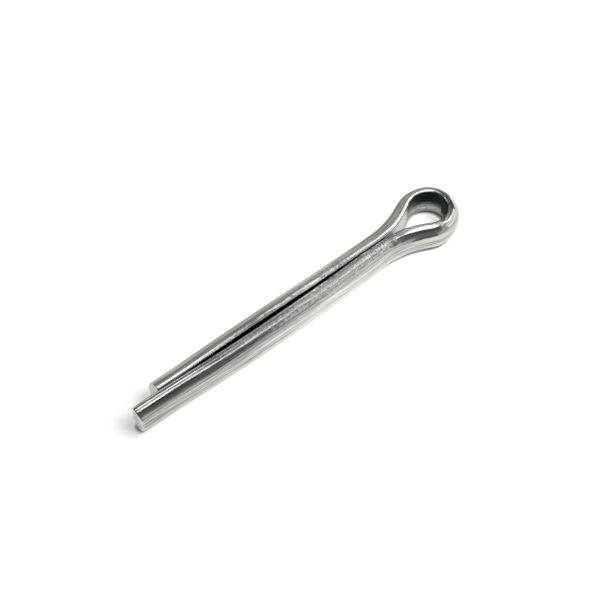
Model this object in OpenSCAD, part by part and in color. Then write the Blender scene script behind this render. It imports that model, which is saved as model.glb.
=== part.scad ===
// Split cotter pin, folded from one length of half-round wire.
// It lies on its side: the eye is flat on the surface, the split between
// the two legs stands upright, and the tips point along +X.
// Millimetres; the origin is the centre of the underside of the bounding box.

/* [Wire] */
// Diameter of the closed shank, which is twice the thickness of the half-round wire
wire_d = 4.5; // [4.4:0.1:4.6]
// Radius of the rounded edges along the flat side of the wire
edge_r = 0.4; // [0.3:0.05:0.5]
// How far the rounded top and bottom of the wire stop short of a full circle
crown_cut = 0.05; // [0.03:0.01:0.08]

/* [Eye] */
// Inside radius of the eye
eye_r = 2.5; // [2.3:0.1:2.7]
// Length of the short straight run at the widest part of the eye
eye_run = 0.3; // [0.2:0.1:0.8]
// How much thinner the wire is drawn where it bends round the eye
eye_thin = 0.4; // [0.3:0.1:0.7]
// Tightness of the flanks that lead from the eye to the neck
flank_k = 3; // [2.8:0.1:3.2]

/* [Legs] */
// Distance from the middle of the eye to the tip of the long leg
long_tip = 47.1; // [40:0.1:60]
// How much shorter the short leg is
leg_step = 3.7; // [2:0.1:4]
// Half of the slit between the flats where the legs lie closed
half_slit = 0.04; // [0.03:0.01:0.05]
// Length of the closed straight shank below the neck
shank_len = 5.16; // [4.66:0.25:5.66]
// Height of the long leg's outward bow
long_bow = 0.25; // [0.2:0.05:0.25]
// Height of the short leg's outward bow
short_bow = 0.12; // [0.08:0.04:0.2]

/* [Hidden] */
$fn = 96;
steel = [0.72, 0.72, 0.70];
r = wire_d / 2;               // radius of the round side
zt = r - crown_cut;           // half of the wire's height
zc = zt - edge_r;             // height of the centre of an edge rounding
w = 3;                        // reach of the edge profile, wider than the wire is thick
bow_run = 18;                 // from the end of the shank to the crest of the bow

// The flat side runs round the eye on tangent arcs: the eye, a long flank
// arc and a neck arc. Their centres lie on lines of slope 12:5 and 15:8, so
// every arc ends on a straight line through two centres.
function flank_c(k) = [-5 * k, -12 * k];
function neck_m(er, k, y0) = (k + er - y0) / 2;
function neck_c(er, k, y0) = flank_c(k) + neck_m(er, k, y0) * [8, 15];
// Where the line through the flank and neck centres meets the split plane
function neck_foot(c) = [c[0] - 8 * c[1] / 15, 0];

// The flat follows one such curve, and the round side a second one, which
// lies closer in at the eye because the wire is thinner there.
in_c = neck_c(eye_r, flank_k, half_slit);
out_r = eye_r - eye_thin;
out_k = flank_k - 0.8;
out_c = neck_c(out_r, out_k, 0);
neck_x = in_c[0];
shank_x = neck_x + shank_len;
short_tip = long_tip - leg_step;
eye_back = -eye_run - out_r - r;
mid_x = (eye_back + long_tip) / 2;

// Flat side at x = 0 with its two rounded edges, open to the right
module flat_profile() {
    translate([0, -zc]) square([edge_r, 2 * zc]);
    for (s = [-1, 1])
        intersection() {
            translate([edge_r, s * zc]) circle(r = edge_r);
            translate([0, s > 0 ? zc : -zt]) square([edge_r, edge_r]);
        }
    translate([edge_r, -zt]) square([w - edge_r, 2 * zt]);
}

// Whole section of the wire, thinner than a half circle by the given amount
module wire_section(thin) {
    intersection() {
        flat_profile();
        translate([-thin, 0]) circle(r = r);
    }
}

// Upright block over an outline seen from above
module block(points) {
    translate([0, 0, -4]) linear_extrude(8) polygon(points);
}

// Run along +X between two stations
module run_x(x0, x1) {
    translate([x0, 0, 0]) rotate([90, 0, 90]) linear_extrude(x1 - x0) children();
}

// Half of the eye with its flank, down to the start of the shank
module eye_half() {
    // back of the eye
    intersection() {
        translate([-eye_run, 0, 0]) rotate_extrude() translate([eye_r, 0]) wire_section(eye_thin);
        block([[-eye_run, 0], [-eye_run, 8], [-eye_run - 8, 8], [-eye_run - 8, 0]]);
    }
    // widest part
    run_x(-eye_run, 0) translate([eye_r, 0]) wire_section(eye_thin);
    // shoulder
    intersection() {
        rotate_extrude() translate([eye_r, 0]) wire_section(eye_thin);
        block([[0, 0], [2.5, 6], [0, 6]]);
    }
    // flank and neck: what lies both outside the flat and inside the round
    intersection() {
        union() {
            intersection() {
                translate(flank_c(flank_k)) rotate_extrude($fn = 360)
                    translate([13 * flank_k + eye_r, 0]) flat_profile();
                block([[0, 0], neck_foot(in_c), in_c, [2.5, 6]]);
            }
            intersection() {
                translate(in_c) rotate_extrude()
                    translate([in_c[1] - half_slit, 0]) mirror([1, 0]) flat_profile();
                block([in_c, neck_foot(in_c), [neck_x, 0]]);
            }
        }
        union() {
            intersection() {
                translate(flank_c(out_k)) rotate_extrude($fn = 360)
                    translate([13 * out_k + out_r, 0]) circle(r = r);
                block([[0, 0], neck_foot(out_c), out_c, [2.5, 6]]);
            }
            intersection() {
                translate(out_c) rotate_extrude() translate([out_c[1], 0]) circle(r = r);
                block([out_c, neck_foot(out_c), [out_c[0], 0]]);
            }
            run_x(out_c[0], neck_x) intersection() {
                circle(r = r);
                translate([0, -w]) square([w, 2 * w]);
            }
        }
    }
}

// One leg: closed shank, then an outward bow on two long arcs up to a sheared tip
module leg(tip, bow) {
    reach = (bow_run * bow_run + bow * bow) / (2 * bow);
    crest_r = 100 / bow;
    start_r = reach - crest_r;
    a = [shank_x, start_r];
    b = [shank_x + bow_run, bow - crest_r];
    run_x(neck_x, shank_x) translate([half_slit, 0]) wire_section(half_slit);
    intersection() {
        translate(a) rotate_extrude(angle = 8, start = 266, $fn = 2880)
            translate([start_r - half_slit, 0]) mirror([1, 0]) wire_section(half_slit);
        block([a, [shank_x, b[1]], b]);
    }
    intersection() {
        translate(b) rotate_extrude(angle = 12, start = 84, $fn = 2880)
            translate([crest_r + half_slit, 0]) wire_section(half_slit);
        block([b, [tip, b[1]], [tip, a[1]], a]);
    }
}

module cotter_pin() {
    color(steel) translate([-mid_x, 0, zt]) {
        eye_half();
        mirror([0, 1, 0]) eye_half();
        leg(long_tip, long_bow);
        mirror([0, 1, 0]) leg(short_tip, short_bow);
    }
}

cotter_pin();
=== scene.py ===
import math

import bpy
import numpy as np
from mathutils import Matrix, Vector


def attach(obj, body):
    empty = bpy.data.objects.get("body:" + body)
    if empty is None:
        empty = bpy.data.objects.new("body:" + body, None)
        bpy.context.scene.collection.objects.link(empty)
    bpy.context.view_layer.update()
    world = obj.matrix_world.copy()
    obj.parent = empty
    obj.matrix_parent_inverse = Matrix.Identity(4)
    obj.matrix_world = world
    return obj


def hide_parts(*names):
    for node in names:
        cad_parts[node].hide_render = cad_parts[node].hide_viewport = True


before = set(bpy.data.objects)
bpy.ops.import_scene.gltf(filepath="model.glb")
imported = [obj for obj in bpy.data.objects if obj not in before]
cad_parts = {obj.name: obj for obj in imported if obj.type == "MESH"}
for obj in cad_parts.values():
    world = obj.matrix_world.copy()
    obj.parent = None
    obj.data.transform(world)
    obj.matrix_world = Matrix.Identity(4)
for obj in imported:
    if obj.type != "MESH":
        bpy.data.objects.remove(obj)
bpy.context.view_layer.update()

# ---------------------------------------------------------------- shape, in mm
# Local x starts at the middle of the eye. The row's frame has its origin at the
# middle of the pin's length.
MID_X = 21.225
Z_MID = 2.2          # height of the plane in which the wire is bent
WIRE_R = 2.215       # radius of the wire's round side
EYE_R = 2.485        # inside radius of the eye
EYE_STRETCH = 1.111  # the back of the eye is a little longer than round
FLANK_DEG = 31.68    # slope of the flanks
HALF_SLIT = 0.024
LONG_TIP, SHORT_TIP = 47.038, 43.313
rng = np.random.default_rng(20)


def spline(xk, yk, x):
    """Natural cubic curve through a few points."""
    xk, yk = np.asarray(xk, float), np.asarray(yk, float)
    h = np.diff(xk)
    n = len(xk)
    m = np.eye(n)
    rhs = np.zeros(n)
    for i in range(1, n - 1):
        m[i, i - 1], m[i, i], m[i, i + 1] = h[i - 1], 2 * (h[i - 1] + h[i]), h[i]
        rhs[i] = 6 * ((yk[i + 1] - yk[i]) / h[i] - (yk[i] - yk[i - 1]) / h[i - 1])
    c = np.linalg.solve(m, rhs)
    i = np.clip(np.searchsorted(xk, x) - 1, 0, n - 2)
    a, b = xk[i + 1] - x, x - xk[i]
    return (c[i] * a**3 + c[i + 1] * b**3) / (6 * h[i]) + (yk[i] / h[i] - c[i] * h[i] / 6) * a + (yk[i + 1] / h[i] - c[i + 1] * h[i] / 6) * b


def side_curve(sign, tip, bow_x, bow_y):
    """Flat side of the wire in plan, from the back of the eye to one tip."""
    al = math.radians(FLANK_DEG - 0.09 * sign)
    rf = 0.95 * (EYE_R / math.tan(al)) / math.tan(al / 2)
    xn = (EYE_R + rf - math.cos(al) * (HALF_SLIT + rf)) / math.sin(al)
    a = np.linspace(math.pi, math.pi / 2 - al, 900)
    eye = np.c_[EYE_R * np.cos(a) * np.where(np.cos(a) < 0, EYE_STRETCH, 1.0), EYE_R * np.sin(a)]
    foot = np.array([xn - rf * math.sin(al), HALF_SLIT + rf - rf * math.cos(al)])
    flank = eye[-1] + np.linspace(0, 1, 200)[1:, None] * (foot - eye[-1])
    t = np.linspace(al, 0, 700)[1:]
    flare = np.c_[xn - rf * np.sin(t), HALF_SLIT + rf - rf * np.cos(t)]
    x = np.linspace(xn, tip, 4000)[1:]
    y = HALF_SLIT + spline([xn - 1.5, xn, *bow_x, tip], [0.0, 0.0, *bow_y], x)
    p = np.vstack([eye, flank, flare, np.c_[x, y]])
    p[:, 1] = sign * p[:, 1] - 0.093 / (1 + np.exp((p[:, 0] - 4.2) / 0.9))
    if sign > 0:
        p[:, 1] -= 0.085 * np.exp(-(((p[:, 0] - 3.0) / 2.6) ** 4)) * (p[:, 1] > 0)
    return p


def smooth(v, sigma):
    """Gaussian smoothing of a column that runs on straight past its ends."""
    m = max(1, int(math.ceil(4 * sigma)))
    ker = np.exp(-0.5 * (np.arange(-m, m + 1) / sigma) ** 2)
    ext = np.r_[2 * v[0] - v[m:0:-1], v, 2 * v[-1] - v[-2:-m - 2:-1]]
    return np.convolve(ext, ker / ker.sum(), "valid")


def blur(a, su, sv):
    """Gaussian blur of a grid: open along the wire, closed round it. Result has unit deviation."""
    if su > 0:
        m = int(math.ceil(3.5 * su))
        ker = np.exp(-0.5 * (np.arange(-m, m + 1) / su) ** 2)
        n = a.shape[0] + 2 * m
        f = np.fft.rfft(np.pad(a, ((m, m), (0, 0)), mode="reflect" if m < a.shape[0] else "edge"), n=2 * n, axis=0)
        g = np.fft.rfft(np.r_[ker, np.zeros(2 * n - len(ker))])[:, None]
        a = np.fft.irfft(f * g, n=2 * n, axis=0)[2 * m:2 * m + a.shape[0]]
    if sv > 0:
        k = np.fft.rfftfreq(a.shape[1]) * 2 * math.pi
        a = np.fft.irfft(np.fft.rfft(a, axis=1) * np.exp(-0.5 * (k * sv) ** 2), n=a.shape[1], axis=1)
    return a / a.std()


STEP = 0.145
near = side_curve(1, LONG_TIP, [12, 15, 19, 24, 29, 33, 37, 41, 44], [0.085, 0.22, 0.32, 0.37, 0.375, 0.31, 0.19, 0.02, -0.06, -0.11])
far = side_curve(-1, SHORT_TIP, [13, 20, 28, 36, 40], [0.0, 0.02, 0.05, 0.03, 0.015, 0.065])
line = np.vstack([near[::-1], far[1:]])
run = np.r_[0, np.cumsum(np.linalg.norm(np.diff(line, axis=0), axis=1))]
count = int(round(run[-1] / STEP)) + 1
along = np.linspace(0, run[-1], count)
plan = np.c_[np.interp(along, run, line[:, 0]), np.interp(along, run, line[:, 1])]
plan = np.c_[smooth(plan[:, 0], 2.2), smooth(plan[:, 1], 2.2)]
tang = np.gradient(plan, axis=0)
tang /= np.linalg.norm(tang, axis=1)[:, None]
outward = np.c_[-tang[:, 1], tang[:, 0]]
if outward[0, 1] < 0:
    outward = -outward
back_i = int(np.argmin(plan[:, 0]))
side = np.where(np.arange(count) <= back_i, 1.0, -1.0)
px = plan[:, 0]
from_back = along - along[back_i]  # along the wire from the back of the eye, positive on the far side

# The wire is drawn thinner round the eye, with sharper edges
eye_w = 1 / (1 + np.exp((px - 4.2) / 0.9))
thick_near = spline([-7, -3, 0, 1.2, 2.4, 4, 6, 8, 10, 12, 18, 25, 40, 48], [0.77, 0.772, 0.80, 0.86, 0.915, 0.93, 0.905, 0.90, 0.94, 0.955, 0.97, 0.98, 0.972, 0.97], px)
thick_far = 1 - 0.231 * eye_w + 0.059 * np.exp(-(((px - 2.86) / 1.8) ** 2)) - 0.045 / (1 + np.exp((40.5 - px) / 1.2))
thick = smooth(np.where(side > 0, thick_near, thick_far), 6)

# Section of the wire: the direction of the surface turns from level to level over
# the top, on a large radius, then on two small ones along the edge of the flat
T = np.radians(np.linspace(0, 180, 1441))
N_FLAT, N_EDGE, N_ROUND = 26, 16, 48
EDGE_FROM = 84.0
t_up = np.radians(np.r_[np.linspace(180, EDGE_FROM, N_EDGE + 1)[:-1], np.linspace(EDGE_FROM, 0, N_ROUND // 2 + 1)])
t_low = t_up[::-1][1:-1]


def section(w, e):
    """Half-round section with rounded edges, rounder where e tells: distance from the flat, height, and the normal of both."""
    deg = np.degrees(T)
    s1 = 1 / (1 + np.exp(-(deg - EDGE_FROM) / 2.0))
    s2 = 1 / (1 + np.exp(-(deg - 128.0) / 2.0))
    r = WIRE_R * (1 - s1) + (0.297 - 0.05 * w) * (1 + 0.5 * e) * s1 * (1 - s2) + (0.182 - 0.03 * w) * s2
    mid, tm, dt = (r[1:] + r[:-1]) / 2, (T[1:] + T[:-1]) / 2, T[1] - T[0]
    x = np.r_[0, np.cumsum(-mid * np.sin(tm) * dt)]
    z = np.r_[0, np.cumsum(mid * np.cos(tm) * dt)]
    x -= x[-1]
    z *= Z_MID / z.max()
    xu, zu, xl, zl = np.interp(t_up, T, x), np.interp(t_up, T, z), np.interp(t_low, T, x), -np.interp(t_low, T, z)
    lat = np.r_[np.zeros(N_FLAT), xu, xl]
    zed = np.r_[np.linspace(-zu[0], zu[0], N_FLAT + 1)[:-1], zu, zl]
    nl = np.r_[-np.ones(N_FLAT), np.cos(t_up), np.cos(t_low)]
    nz = np.r_[np.zeros(N_FLAT), np.sin(t_up), -np.sin(t_low)]
    return lat, zed, nl, nz


N_SEC = N_FLAT + len(t_up) + len(t_low)
LAT, ZED, NLAT, NZED = (np.zeros((count, N_SEC)) for _ in range(4))
for i in range(count):
    lat, z, nl, nz = section(eye_w[i], math.exp(-(((from_back[i] - 1.95) / 1.15) ** 4)))
    m = np.hypot(nl / thick[i], nz)
    LAT[i], ZED[i], NLAT[i], NZED[i] = lat * thick[i], z, nl / thick[i] / m, nz / m

# ------------------------------------------------- marks in the metal, in mm
col = np.arange(N_SEC)
on_upper_edge = np.exp(-0.5 * ((col - (N_FLAT + N_EDGE * 0.75)) / 7.0) ** 2)[None, :]
on_top = np.clip(NZED, 0, 1)
leg_x = np.clip((px - 9) / 34, 0, 1)
worked = (np.exp(-(((px - 17.5) / 7.5) ** 2)) + 0.30 * np.exp(-(((px - 8.5) / 3.0) ** 2)))[:, None]  # rougher middle of the legs
white = lambda: rng.standard_normal((count, N_SEC))
relief = np.zeros((count, N_SEC))
# draw lines that run along the wire
for k in range(5):
    relief += 0.0012 * blur(white()[:1].repeat(count, 0), 0, 0.9) * (0.6 + 0.5 * blur(white(), 60, 0.9))
# mottling and small dents of the worked stretch
far_lip = np.exp(-0.5 * ((col - (N_FLAT + N_EDGE)) / 6.0) ** 2)[None, :] * (side[:, None] < 0)
relief += 0.0056 * worked * (1 - 0.92 * far_lip) * blur(white(), 1.3, 1.3)
relief += 0.0050 * np.clip(worked + 0.5 * np.exp(-(((px - 28) / 5.0) ** 2))[:, None], 0, 1.3) * (1 - 0.85 * far_lip) * on_upper_edge * blur(white(), 0.7, 2.0)
relief += 0.0011 * blur(white(), 1.6, 1.1)
# cross marks left by the bending tool under the neck, on the near side
tool = np.where(side > 0, np.exp(-(((px - 8.2) / 2.6) ** 2)), 0.35 * np.exp(-(((px - 8.2) / 2.6) ** 2)))[:, None]
on_shoulder = np.exp(-0.5 * ((col - (N_FLAT + N_EDGE + 5)) / 6.0) ** 2)[None, :]
relief += 0.0040 * tool * on_shoulder * blur(white(), 0.6, 2.6)
# small nicks across the lip of the far leg, and a few gouges at the near neck
nick = blur(white()[:, :1].repeat(N_SEC, 1), 0.45, 0) + 0.5 * blur(white(), 0.5, 2.0)
lip = np.exp(-0.5 * ((col - (N_FLAT + N_EDGE)) / 4.0) ** 2)[None, :]
relief -= 0.008 * np.clip(nick - 0.2, 0, 2) * lip * np.where(side < 0, np.exp(-(((px - 27) / 7.5) ** 4)), 0.25 * np.exp(-(((px - 16) / 8.0) ** 4)))[:, None]
for gx, gc, sx, sc, deep in ((6.3, 47, 0.30, 2.2, 0.040), (7.1, 51, 0.45, 1.6, 0.035), (7.9, 46, 0.35, 1.8, 0.030), (5.6, 52, 0.55, 1.4, 0.025), (8.9, 49, 0.30, 2.0, 0.025), (9.8, 47, 0.25, 1.6, 0.020)):
    relief -= 0.7 * deep * np.exp(-(((px - gx) / sx) ** 2))[:, None] * np.exp(-(((col - gc) / sc) ** 2))[None, :] * (side[:, None] > 0)
# slow unevenness of the whole wire
relief += 0.004 * blur(white(), 18, 9)
dash = 0.75 * blur(white(), 3.0, 1.0) + 0.35 * nick
LAT += relief * NLAT
ZED += relief * NZED

verts = np.stack(
    [
        plan[:, :1] + outward[:, :1] * LAT - MID_X,
        plan[:, 1:] + outward[:, 1:] * LAT,
        np.clip(Z_MID + ZED, 0.0, 2 * Z_MID),
    ],
    axis=2,
)

# perimeter coordinate, wound on a circle so that patterns close
d = np.linalg.norm(np.diff(np.concatenate([verts, verts[:, :1]], 1), axis=1), axis=2)
per = np.cumsum(d, axis=1) - d
loop = d.sum(1, keepdims=True)
ang = per / loop * 2 * math.pi
wire = np.stack([np.repeat(along[:, None], N_SEC, 1), loop / (2 * math.pi) * np.cos(ang), loop / (2 * math.pi) * np.sin(ang)], axis=2)

# Painted shade, as a dark film on the flat side: in the slit between the legs, and on the upper part of the eye's inner
# wall, where little light reaches
flat_c = np.clip(1 - np.abs(col - N_FLAT / 2) / (N_FLAT / 2 + 3.0), 0, 1)[None, :]
flat_c = np.clip(flat_c * 6, 0, 1)
high = 1 / (1 + np.exp(-(ZED + 0.55 + 0.9 * (side[:, None] > 0)) / 0.38))
in_eye = 1 / (1 + np.exp((px - np.where(side > 0, 3.0, 1.4)) / np.where(side > 0, 0.35, 0.75)))[:, None]
in_slit = (1 / (1 + np.exp((9.5 - px) / 0.8)) / (1 + np.exp((px - 42.4) / 0.3)))[:, None]
painted_shade = flat_c * np.clip(1.15 * in_eye * high + 0.8 * in_slit, 0, 1)
# painted shade on the far side's flat round the eye, fading along the far flank
low_wall_shade = np.where(px < 1.6, 0.28 + 0.25 * np.exp(-((px - 1.6) ** 2)), 0.53 * np.exp(-np.clip(px - 1.6, 0, None) / 1.5)) * (side < 0)
painted_shade = np.maximum(painted_shade, flat_c * low_wall_shade[:, None])
# Painted shade in dark lines: along the near flank's inner edge, on the eye's rim, along the far leg's lip (broken into
# dashes), and along the near leg's upper edge and top
near_lip_shade = np.exp(-(((col - (N_FLAT + 7)) / 9.5) ** 12))[None, :] * (side[:, None] > 0) / (1 + np.exp((px - 12.5) / 0.8))[:, None] / (1 + np.exp((from_back + 0.7) / 0.15))[:, None]
rim_top = (16.0 + 5.0 / (1 + np.exp((px + 0.1) / 0.35)))[:, None]
rim_shade = np.clip((rim_top - col[None, :] + N_FLAT) / 1.2 + 0.5, 0, 1) * np.clip((col[None, :] - N_FLAT - 13.0) / 2.0 + 0.5, 0, 1) / (1 + np.exp((px - 0.9) / 0.3))[:, None] / (1 + np.exp((from_back - 0.9) / 0.25))[:, None]
far_lip_shade = np.clip(0.38 + 0.26 * np.clip(dash, -1.3, 1.5), 0, 0.8) * lip * np.where(side < 0, np.exp(-(((px - 20.5) / 11.5) ** 6)), 0.0)[:, None]
near_edge_shade = np.clip((43.8 - col) / 1.5 + 0.5, 0, 1)[None, :] * np.clip((col - 35.0) / 2.0, 0, 1)[None, :] * (side[:, None] > 0) * np.clip((px - 5.0) / 1.5, 0, 1)[:, None] * np.clip((21.0 - px) / 4.0, 0, 1)[:, None]
near_top_shade = np.exp(-(((col - (N_FLAT + 13.5)) / 7.5) ** 6))[None, :] * (side[:, None] > 0) * np.clip((px - 16.5) / 4.0, 0, 1)[:, None] * np.clip((39.0 - px) / 3.0, 0, 1)[:, None]
painted_shade = np.maximum(np.maximum(painted_shade, np.maximum(np.maximum(0.86 * near_lip_shade, 0.70 * near_edge_shade), (0.62 + 0.28 * np.exp(-(((col[None, :] - N_FLAT - 15.5) / 2.0) ** 2))) * rim_shade)), np.maximum(far_lip_shade, 0.46 * near_top_shade))

# Fine bright ticks that the bending tool left on the near leg
tick_v = np.exp(-(((px - 10.0) / 3.4) ** 2))[:, None] * np.exp(-0.5 * ((col - 46.8) / 2.5) ** 2)[None, :] * (side[:, None] > 0)

# Painted highlight: a lighter steel colour along the near flank widens its bright band
painted_highlight_v = np.clip((col - 41.5) / 1.5, 0, 1)[None, :] * np.clip((48.5 - col) / 1.5, 0, 1)[None, :] * np.exp(-(((px - 1.8) / 3.0) ** 4))[:, None] * (side[:, None] > 0)

# ----------------------------------------------------------------- sheared tips
TRIM = 6  # stations given up for the rounded edge of a tip
rings = [verts[i] for i in range(TRIM, count - TRIM)]
wires = [wire[i] for i in range(TRIM, count - TRIM)]
caps = [np.zeros(N_SEC) for _ in rings]


def tip(i, direction, low, slant, corner, heel, flare):
    """Rings of one sheared end, from its rounded edge to the middle of the face; low and slant tell how far its foot stands out and its top stands back, corner, heel and flare how round the top and the bottom of the flat and the round side are."""
    t3 = np.array([tang[i, 0], tang[i, 1], 0.0]) * direction
    n3 = np.stack([outward[i, 0] * NLAT[i], outward[i, 1] * NLAT[i], NZED[i]], 1)
    base = verts[i] + (low - slant * verts[i][:, 2:] / (2 * Z_MID)) * t3
    foot = np.minimum(col, N_SEC - col)
    r = 0.07 + heel * np.exp(-0.5 * (foot / 5.0) ** 2) + corner * np.exp(-0.5 * ((col - (N_FLAT + 5)) / 6.0) ** 2) + flare * np.exp(-0.5 * ((col - (N_FLAT + N_EDGE + 24)) / 12.0) ** 2)
    k = np.fft.rfftfreq(N_SEC) * 2 * math.pi
    n3 = np.fft.irfft(np.fft.rfft(n3, axis=0) * np.exp(-0.5 * (k * 5.0) ** 2)[:, None], n=N_SEC, axis=0)
    n3 /= np.linalg.norm(n3, axis=1)[:, None]
    out = []
    for phi in np.radians([0, 22, 45, 68, 90]):
        out.append((base - r[:, None] * (1 - math.sin(phi)) * t3 - r[:, None] * (1 - math.cos(phi)) * n3, math.sin(phi), 1.0))
    mid = out[-1][0].mean(0)
    for s in (0.88, 0.72, 0.54, 0.34, 0.15):
        q = mid + (out[4][0] - mid) * s
        wob = 0.012 * np.sin(q[:, 1] * 9.0 + 1.3 * np.sin(q[:, 2] * 2.1)) - 0.02 * (1 - s)
        out.append((q + wob[:, None] * t3, 1.0, s))
    return out, mid - 0.02 * t3


end_b, mid_b = tip(count - 1, 1.0, 0.12, 0.20, 0.14, 0.10, 0.12)
end_a, mid_a = tip(0, -1.0, 0.036, 0.05, 0.34, 0.66, 0.34)
rings = [q for q, _, _ in end_a[::-1]] + rings + [q for q, _, _ in end_b]
caps = [np.full(N_SEC, c) for _, c, _ in end_a[::-1]] + caps + [np.full(N_SEC, c) for _, c, _ in end_b]
wires = [wire[0] * (1.0, k, k) for _, _, k in end_a[::-1]] + wires + [wire[-1] * (1.0, k, k) for _, _, k in end_b]
n_ring = len(rings)
V = np.concatenate(rings + [mid_a[None], mid_b[None]]) * 0.001
W = np.concatenate(wires + [wire[0].mean(0)[None], wire[-1].mean(0)[None]])
CAP = np.concatenate(caps + [np.ones(1), np.ones(1)])
ii, jj = np.meshgrid(np.arange(n_ring - 1), np.arange(N_SEC), indexing="ij")
a = ii * N_SEC + jj
b = ii * N_SEC + (jj + 1) % N_SEC
quads = np.stack([a, b, b + N_SEC, a + N_SEC], -1).reshape(-1, 4)
ia, ib = n_ring * N_SEC, n_ring * N_SEC + 1
fan_a = [(ia, (j + 1) % N_SEC, j) for j in range(N_SEC)]
o = (n_ring - 1) * N_SEC
fan_b = [(ib, o + j, o + (j + 1) % N_SEC) for j in range(N_SEC)]
p0, p1, p2 = V[quads[:, 0]], V[quads[:, 1]], V[quads[:, 2]]
if np.einsum("ij,ij->", p0, np.cross(p1, p2)) < 0:
    quads = quads[:, ::-1]
    fan_a = [f[::-1] for f in fan_a]
    fan_b = [f[::-1] for f in fan_b]
mesh = bpy.data.meshes.new("pin_wire")
mesh.from_pydata(V.tolist(), [], quads.tolist() + fan_a + fan_b)
mesh.update()
mesh.shade_smooth()
at = mesh.attributes.new("wire", "FLOAT_VECTOR", "POINT")
at.data.foreach_set("vector", W.astype(np.float32).ravel())
at = mesh.attributes.new("cap", "FLOAT", "POINT")
at.data.foreach_set("value", CAP.astype(np.float32))
rough_v = np.concatenate([np.repeat(np.concatenate([np.full(len(end_a), worked[0, 0]), worked[TRIM:count - TRIM, 0], np.full(len(end_b), worked[-1, 0])]), N_SEC), np.zeros(2)])
at = mesh.attributes.new("worked", "FLOAT", "POINT")
at.data.foreach_set("value", rough_v.astype(np.float32))
# painted shade, per point, for the material
painted_shade_v = np.concatenate([np.zeros(len(end_a) * N_SEC), painted_shade[TRIM:count - TRIM].ravel(), np.zeros(len(end_b) * N_SEC + 2)])
at = mesh.attributes.new("painted_shade", "FLOAT", "POINT")
at.data.foreach_set("value", painted_shade_v.astype(np.float32))
tick_v = np.concatenate([np.zeros(len(end_a) * N_SEC), tick_v[TRIM:count - TRIM].ravel(), np.zeros(len(end_b) * N_SEC + 2)])
at = mesh.attributes.new("ticks", "FLOAT", "POINT")
at.data.foreach_set("value", tick_v.astype(np.float32))
# painted highlight, per point, for the material
painted_highlight_v = np.concatenate([np.zeros(len(end_a) * N_SEC), painted_highlight_v[TRIM:count - TRIM].ravel(), np.zeros(len(end_b) * N_SEC + 2)])
at = mesh.attributes.new("painted_highlight", "FLOAT", "POINT")
at.data.foreach_set("value", painted_highlight_v.astype(np.float32))
pin = bpy.data.objects.new("pin_wire", mesh)
bpy.context.scene.collection.objects.link(pin)

# --------------------------------------------------------------------- material
steel = bpy.data.materials.new("bright_steel_wire")
steel.use_nodes = True
nt = steel.node_tree
nt.nodes.clear()


def node(kind, **props):
    n = nt.nodes.new(kind)
    for k, v in props.items():
        setattr(n, k, v)
    return n


def link(a, b):
    nt.links.new(a, b)


out = node("ShaderNodeOutputMaterial")
bsdf = node("ShaderNodeBsdfPrincipled")
link(bsdf.outputs["BSDF"], out.inputs["Surface"])
bsdf.inputs["Metallic"].default_value = 1.0
coord = node("ShaderNodeAttribute", attribute_name="wire")
cap = node("ShaderNodeAttribute", attribute_name="cap")
wk = node("ShaderNodeAttribute", attribute_name="worked")
# painted shade mask
shade_attr = node("ShaderNodeAttribute", attribute_name="painted_shade")
tk = node("ShaderNodeAttribute", attribute_name="ticks")
# painted highlight mask
highlight_attr = node("ShaderNodeAttribute", attribute_name="painted_highlight")


def noise(stretch, scale, detail, rough=0.55):
    mp = node("ShaderNodeMapping")
    mp.inputs["Scale"].default_value = stretch
    link(coord.outputs["Vector"], mp.inputs["Vector"])
    n = node("ShaderNodeTexNoise")
    n.inputs["Scale"].default_value = scale
    n.inputs["Detail"].default_value = detail
    n.inputs["Roughness"].default_value = rough
    link(mp.outputs["Vector"], n.inputs["Vector"])
    return n.outputs["Fac"]


def math_node(op, a, b, c=None):
    n = node("ShaderNodeMath", operation=op)
    for i, v in enumerate((a, b, c)):
        if v is None:
            continue
        if isinstance(v, (int, float)):
            n.inputs[i].default_value = v
        else:
            link(v, n.inputs[i])
    return n.outputs[0]


def ramp(fac, stops):
    n = node("ShaderNodeValToRGB")
    els = n.color_ramp.elements
    while len(els) < len(stops):
        els.new(0.5)
    for e, (pos, c) in zip(els, stops):
        e.position = pos
        e.color = (*c, 1.0) if isinstance(c, tuple) else (c, c, c, 1.0)
    link(fac, n.inputs["Fac"])
    return n.outputs["Color"]


streak = noise((0.030, 1.0, 1.0), 6.0, 4.0, 0.65)       # fine draw lines
band = noise((0.02, 1.0, 1.0), 1.6, 2.0)          # broader lengthwise bands
mottle = noise((0.55, 1.0, 1.0), 2.2, 3.0)        # uneven patches
speck = noise((1.0, 1.0, 1.0), 6.5, 2.0)          # tiny pits
split = node("ShaderNodeSeparateXYZ")
link(coord.outputs["Vector"], split.inputs["Vector"])
around = math_node("ARCTAN2", split.outputs["Z"], split.outputs["Y"])


def drawn(angle, half):
    """One fine line along the wire at a place on its round side."""
    off = math_node("ABSOLUTE", math_node("SUBTRACT", around, angle), 0.0)
    return math_node("MAXIMUM", math_node("MULTIPLY_ADD", off, -1.0 / half, 1.0), 0.0)


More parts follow.
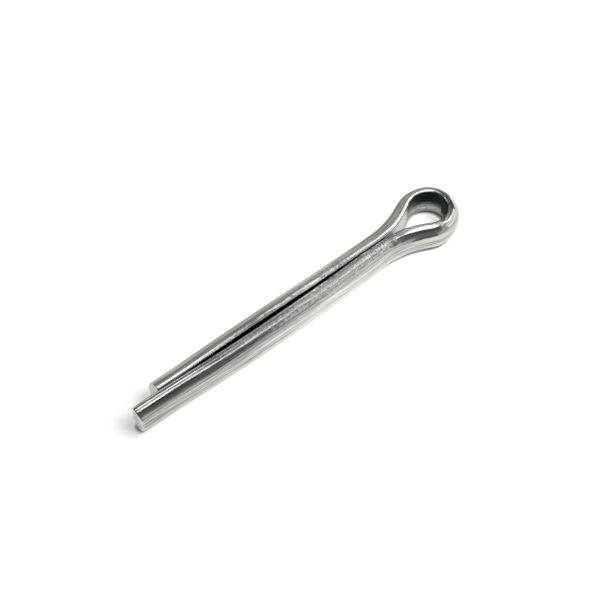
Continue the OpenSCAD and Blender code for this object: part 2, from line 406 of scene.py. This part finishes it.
broken = noise((0.9, 0.0, 0.0), 1.3, 3.0, 0.7)
near_end = node("ShaderNodeMapRange", interpolation_type="SMOOTHSTEP")
near_end.inputs["From Min"].default_value = 20.0
near_end.inputs["From Max"].default_value = 12.0
link(split.outputs["X"], near_end.inputs["Value"])
scored = math_node("MULTIPLY", math_node("MULTIPLY", drawn(2.715, 0.105), near_end.outputs["Result"]), 2.2)
scored = math_node("MULTIPLY_ADD", math_node("MULTIPLY", drawn(-2.58, 0.16), near_end.outputs["Result"]), 1.1, scored)
tip_end = node("ShaderNodeMapRange", interpolation_type="SMOOTHSTEP")
tip_end.inputs["From Min"].default_value = 24.0
tip_end.inputs["From Max"].default_value = 10.0
tip_end.inputs["To Min"].default_value = 0.4
link(split.outputs["X"], tip_end.inputs["Value"])
for angle, half, depth in ((-2.78, 0.07, 0.55), (-2.40, 0.05, 0.25), (-1.97, 0.06, 0.7), (-2.12, 0.035, 0.35)):
    scored = math_node("MULTIPLY_ADD", math_node("MULTIPLY", drawn(angle, half), tip_end.outputs["Result"]), depth, scored)
scored = math_node("MULTIPLY", scored, math_node("MINIMUM", math_node("MULTIPLY_ADD", broken, 1.3, 0.35), 1.0))
scored = math_node("MULTIPLY", scored, math_node("SUBTRACT", 1.0, cap.outputs["Fac"]))
tone = math_node("MULTIPLY_ADD", streak, 0.85, math_node("MULTIPLY_ADD", band, 0.35, -0.10))
tone = math_node("MULTIPLY_ADD", wk.outputs["Fac"], 0.10, tone)
tone = math_node("MULTIPLY_ADD", scored, -0.16, tone)
tone = math_node("MULTIPLY_ADD", cap.outputs["Fac"], 0.15, tone)
cross = math_node("MULTIPLY_ADD", noise((6.6, 0.2, 0.2), 1.0, 1.0), 1.25, -0.53)
tone = math_node("MULTIPLY_ADD", tk.outputs["Fac"], cross, tone)
# painted highlight on the near flank
tone = math_node("MULTIPLY_ADD", highlight_attr.outputs["Fac"], 0.18, tone)
base = ramp(tone, [(0.18, (0.05, 0.051, 0.046)), (0.30, (0.16, 0.160, 0.148)), (0.42, (0.32, 0.319, 0.297)), (0.50, (0.435, 0.434, 0.405)), (0.62, (0.60, 0.599, 0.563)), (0.90, (0.86, 0.859, 0.825))])
# Painted shade: the masked parts are mixed, unevenly, toward near black
patch = math_node("MULTIPLY", math_node("SUBTRACT", noise((0.7, 1.0, 1.0), 4.2, 3.0), 0.5), math_node("SUBTRACT", 1.06, shade_attr.outputs["Fac"]))
painted_dark = math_node("MULTIPLY", shade_attr.outputs["Fac"], math_node("MULTIPLY_ADD", patch, 4.0, 1.0))
mix = node("ShaderNodeMix", data_type="RGBA", clamp_factor=True)
mix.inputs["B"].default_value = (0.0040, 0.0052, 0.0042, 1.0)
link(painted_dark, mix.inputs["Factor"])
link(base, mix.inputs["A"])
link(mix.outputs["Result"], bsdf.inputs["Base Color"])
# Painted shade: where the painted shade film lies, the steel's reflection is also dulled and tinted at flat angles
shade_tint = node("ShaderNodeMix", data_type="RGBA", clamp_factor=True)  # the film dulls the steel at flat angles too
shade_tint.inputs["A"].default_value = (1.0, 1.0, 1.0, 1.0)
shade_tint.inputs["B"].default_value = (0.65, 0.75, 0.73, 1.0)
link(painted_dark, shade_tint.inputs["Factor"])
link(shade_tint.outputs["Result"], bsdf.inputs["Specular Tint"])
rough = math_node("MULTIPLY_ADD", mottle, 0.06, math_node("MULTIPLY_ADD", wk.outputs["Fac"], 0.10, 0.05))
rough = math_node("MULTIPLY_ADD", streak, 0.06, rough)
rough = math_node("MULTIPLY_ADD", cap.outputs["Fac"], 0.25, rough)
rough = math_node("MULTIPLY_ADD", shade_attr.outputs["Fac"], 0.15, rough)
link(rough, bsdf.inputs["Roughness"])
height = math_node("MULTIPLY_ADD", scored, -1.2, math_node("MULTIPLY", streak, 0.8))
height = math_node("ADD", height, math_node("MULTIPLY", math_node("MULTIPLY", speck, wk.outputs["Fac"]), 0.7))
bump = node("ShaderNodeBump")
bump.inputs["Strength"].default_value = 0.35
bump.inputs["Distance"].default_value = 0.00002
link(height, bump.inputs["Height"])
link(bump.outputs["Normal"], bsdf.inputs["Normal"])
mesh.materials.append(steel)

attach(pin, "root")
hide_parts("cotter_pin")

# ------------------------------------------------------------------------ studio
scene = bpy.context.scene
bpy.ops.mesh.primitive_plane_add(size=4.0, location=(0, 0, 0))
floor = bpy.context.object
floor.name = "studio_floor"
fm = bpy.data.materials.new("studio_floor")
fm.use_nodes = True
ft = fm.node_tree
fb = ft.nodes["Principled BSDF"]
fb.inputs["Roughness"].default_value = 0.9
fb.inputs["Specular IOR Level"].default_value = 0.0
fb.inputs["Emission Color"].default_value = (1, 1, 1, 1)
# Painted contact shadow: occlusion close to the pin darkens the floor's colour and, raised to a power, its glow
ao = ft.nodes.new("ShaderNodeAmbientOcclusion")
ao.samples = 16
ao.inputs["Distance"].default_value = 0.00048
ao.inputs["Color"].default_value = (0.50, 0.50, 0.50, 1)
ft.links.new(ao.outputs["Color"], fb.inputs["Base Color"])
deep = ft.nodes.new("ShaderNodeMath")
deep.operation = "POWER"
deep.inputs[1].default_value = 3.0
glow = ft.nodes.new("ShaderNodeMath")
glow.operation = "MULTIPLY"
glow.inputs[1].default_value = 0.70
ft.links.new(ao.outputs["AO"], deep.inputs[0])
ft.links.new(deep.outputs[0], glow.inputs[0])
ft.links.new(glow.outputs[0], fb.inputs["Emission Strength"])
# painted shadow: the floor glows less round the tips, so that it is darker there
place = ft.nodes.new("ShaderNodeTexCoord")
along = ft.nodes.new("ShaderNodeSeparateXYZ")
painted_tip_shadow = ft.nodes.new("ShaderNodeMapRange")
painted_tip_shadow.interpolation_type = "SMOOTHSTEP"
painted_tip_shadow.inputs["From Min"].default_value = 0.017
painted_tip_shadow.inputs["From Max"].default_value = 0.024
painted_tip_shadow.inputs["To Min"].default_value = 0.70
painted_tip_shadow.inputs["To Max"].default_value = 0.47
ft.links.new(place.outputs["Object"], along.inputs[0])
ft.links.new(along.outputs["X"], painted_tip_shadow.inputs["Value"])
ft.links.new(painted_tip_shadow.outputs["Result"], glow.inputs[1])
# and the painted contact shadow is weaker inside the eye
inside = ft.nodes.new("ShaderNodeVectorMath")
inside.operation = "DISTANCE"
inside.inputs[1].default_value = (-0.0205, 0.0, 0.0)
shade = ft.nodes.new("ShaderNodeMapRange")
shade.inputs["From Min"].default_value = 0.0027
shade.inputs["From Max"].default_value = 0.0031
shade.inputs["To Min"].default_value = 0.9
shade.inputs["To Max"].default_value = 3.0
ft.links.new(place.outputs["Object"], inside.inputs[0])
ft.links.new(inside.outputs["Value"], shade.inputs["Value"])
ft.links.new(shade.outputs["Result"], deep.inputs[1])
floor.data.materials.append(fm)

# Painted reflection: a glowing grey card, seen only in the steel, lies behind the pin out of the picture, stands in for
# shaded floor and gives its far edge a darker outline
card_mesh = bpy.data.meshes.new("reflected_shade_card")
card_at = [(-14, -3.3), (-16, -4.2), (-18.5, -4.75), (-22, -4.75), (-25, -3.4), (-26.2, -1.5), (-84, -18), (-60, -80), (-28, -80), (24, -2.35), (70, -80), (-10, -2.45)]
card_mesh.from_pydata([(x * 0.001, y * 0.001, 0.00004) for x, y in card_at], [], [list(range(9)), [0, 8, 10, 9, 11]])
card = bpy.data.objects.new("reflected_shade_card", card_mesh)
scene.collection.objects.link(card)
# two glowing greys that stand in for shaded floor in reflections
for i, level in enumerate((0.42, 0.80)):
    km = bpy.data.materials.new("grey_card_%d" % i)
    km.use_nodes = True
    kb = km.node_tree.nodes["Principled BSDF"]
    kb.inputs["Base Color"].default_value = (0.0, 0.0, 0.0, 1)
    kb.inputs["Specular IOR Level"].default_value = 0.0
    kb.inputs["Emission Color"].default_value = (1, 1, 1, 1)
    kb.inputs["Emission Strength"].default_value = level
    km.cycles.emission_sampling = "NONE"
    card_mesh.materials.append(km)
    card_mesh.polygons[i].material_index = i
card.visible_camera = card.visible_diffuse = card.visible_shadow = card.visible_transmission = False

AZ, EL = math.radians(141.032), math.radians(56.828)
back = Vector((math.sin(AZ) * math.cos(EL), -math.cos(AZ) * math.cos(EL), math.sin(EL)))
right = Vector((math.cos(AZ), math.sin(AZ), 0.0))
up = back.cross(right)
PIX = 1387.146
aim = Vector((20.0 - MID_X, 0.0, Z_MID))
ray = right * (8.755 / PIX) + up * (1.982 / PIX) - back
cam_data = bpy.data.cameras.new("camera")
cam_data.sensor_width = 36.0
cam_data.lens = PIX * 36.0 / 600.0
cam_data.clip_start, cam_data.clip_end = 0.005, 20.0
cam = bpy.data.objects.new("camera", cam_data)
cam.matrix_world = Matrix.Translation((aim - ray * 175.396) * 0.001) @ Matrix((right, up, back)).transposed().to_4x4()
scene.collection.objects.link(cam)
scene.camera = cam

# Directions are given as seen from the camera's side: turn 0 is away from the camera, 90 to its right
away = Vector((-math.sin(AZ), math.cos(AZ), 0.0))


def towards(turn, height):
    t, h = math.radians(turn), math.radians(height)
    return (away * math.cos(t) + right * math.sin(t)) * math.cos(h) + Vector((0, 0, 1)) * math.sin(h)


def soft_box(name, turn, height, wide, tall, radiance, roll=0.0, dist=0.9, tint=(1, 1, 1)):
    """Rectangular light of an angular size in degrees, facing the pin, with that radiance."""
    d = towards(turn, height)
    li = bpy.data.lights.new(name, "AREA")
    li.shape = "RECTANGLE"
    li.size = 2 * dist * math.tan(math.radians(wide / 2))
    li.size_y = 2 * dist * math.tan(math.radians(tall / 2))
    li.energy = radiance * math.pi * li.size * li.size_y
    li.color = tint
    ob = bpy.data.objects.new(name, li)
    ob.matrix_world = Matrix.Translation(d * dist) @ d.to_track_quat("Z", "Y").to_matrix().to_4x4() @ Matrix.Rotation(math.radians(roll), 4, "Z")
    ob.visible_camera = False
    scene.collection.objects.link(ob)
    return ob


def strip(name, turn_x, wide, from_x, to_x, radiance, dist=0.9):
    """Long light that runs parallel to the pin: turn_x is its angle round X from the +Y side, from_x and to_x its ends in degrees along X."""
    t = math.radians(turn_x)
    d = Vector((0.0, math.cos(t), math.sin(t)))
    x0, x1 = dist * math.tan(math.radians(from_x)), dist * math.tan(math.radians(to_x))
    li = bpy.data.lights.new(name, "AREA")
    li.shape = "RECTANGLE"
    li.size = x1 - x0
    li.size_y = 2 * dist * math.tan(math.radians(wide / 2))
    li.energy = radiance * math.pi * li.size * li.size_y
    ob = bpy.data.objects.new(name, li)
    rows = Matrix((Vector((1, 0, 0)), d.cross(Vector((1, 0, 0))), d)).transposed()
    ob.matrix_world = Matrix.Translation(d * dist + Vector(((x0 + x1) / 2, 0, 0))) @ rows.to_4x4()
    ob.visible_camera = False
    scene.collection.objects.link(ob)
    return ob


on_pin = [
    strip("over", 78.5, 27, -15.4, 5.5, 2.4),
    strip("over_tail", 70, 8, -18.5, -15.4, 1.3),
    strip("over_mid", 84.5, 53, -21, -15.6, 0.30),
    strip("low_mid", 27, 11, -28, -15.5, 0.40),
    strip("end_over", 107, 50, -66, -45, 0.32),
    strip("over_neck", 74, 74, -27, -21, 0.88),
    strip("right_over", 107, 70, -45, -36, 3.0),
    strip("right_over_b", 120, 44, -36, -29.5, 3.0),
    strip("rim_line", 64, 12, -36, -27, 2.0),
    strip("back_over", 123.5, 16, -15.5, 5, 2.6),
    strip("back_over_b", 127, 28, -24.5, -17, 1.5),
    strip("back_over_c", 127, 28, -29.5, -24.5, 2.6),
    soft_box("right_window", 81, 20, 48, 40, 0.9),
    soft_box("right_edge", 80, 35, 18, 18, 1.0),
    soft_box("low_right", 99, 13, 82, 27, 0.45, dist=1.1),
    soft_box("low_right_b", 99, 4.5, 82, 9, 0.25, dist=1.2),
]
for_pin = bpy.data.collections.new("for_pin")
for_pin.objects.link(pin)
for ob in on_pin:
    ob.light_linking.receiver_collection = for_pin

# the light that the floor gets from the eye's end; its soft shadows fall past the tips
floor_key = soft_box("floor_key", 96, 60, 28, 28, 15.0)
on_floor = bpy.data.collections.new("on_floor")
on_floor.objects.link(floor)
floor_key.light_linking.receiver_collection = on_floor

world = bpy.data.worlds.new("studio")
scene.world = world
world.use_nodes = True
wt = world.node_tree
wb = wt.nodes["Background"]
wc = wt.nodes.new("ShaderNodeTexCoord")
ws = wt.nodes.new("ShaderNodeSeparateXYZ")
wr = wt.nodes.new("ShaderNodeValToRGB")
wt.links.new(wc.outputs["Generated"], ws.inputs["Vector"])
wm = wt.nodes.new("ShaderNodeMapRange")
wm.inputs["From Min"].default_value = -1.0
wm.inputs["From Max"].default_value = 1.0
wt.links.new(ws.outputs["Y"], wm.inputs["Value"])
wt.links.new(wm.outputs["Result"], wr.inputs["Fac"])
el = wr.color_ramp.elements
el[0].position, el[0].color = 0.0, (0.60, 0.60, 0.60, 1)
el[1].position, el[1].color = 0.72, (0.06, 0.06, 0.06, 1)
e = el.new(0.45)
e.color = (0.15, 0.15, 0.15, 1)
e = el.new(0.98)
e.color = (0.28, 0.28, 0.28, 1)
wt.links.new(wr.outputs["Color"], wb.inputs["Color"])
wb.inputs["Strength"].default_value = 1.0

scene.view_settings.view_transform = "Standard"
scene.view_settings.look = "None"
scene.view_settings.exposure = 0.0
scene.view_settings.gamma = 1.0
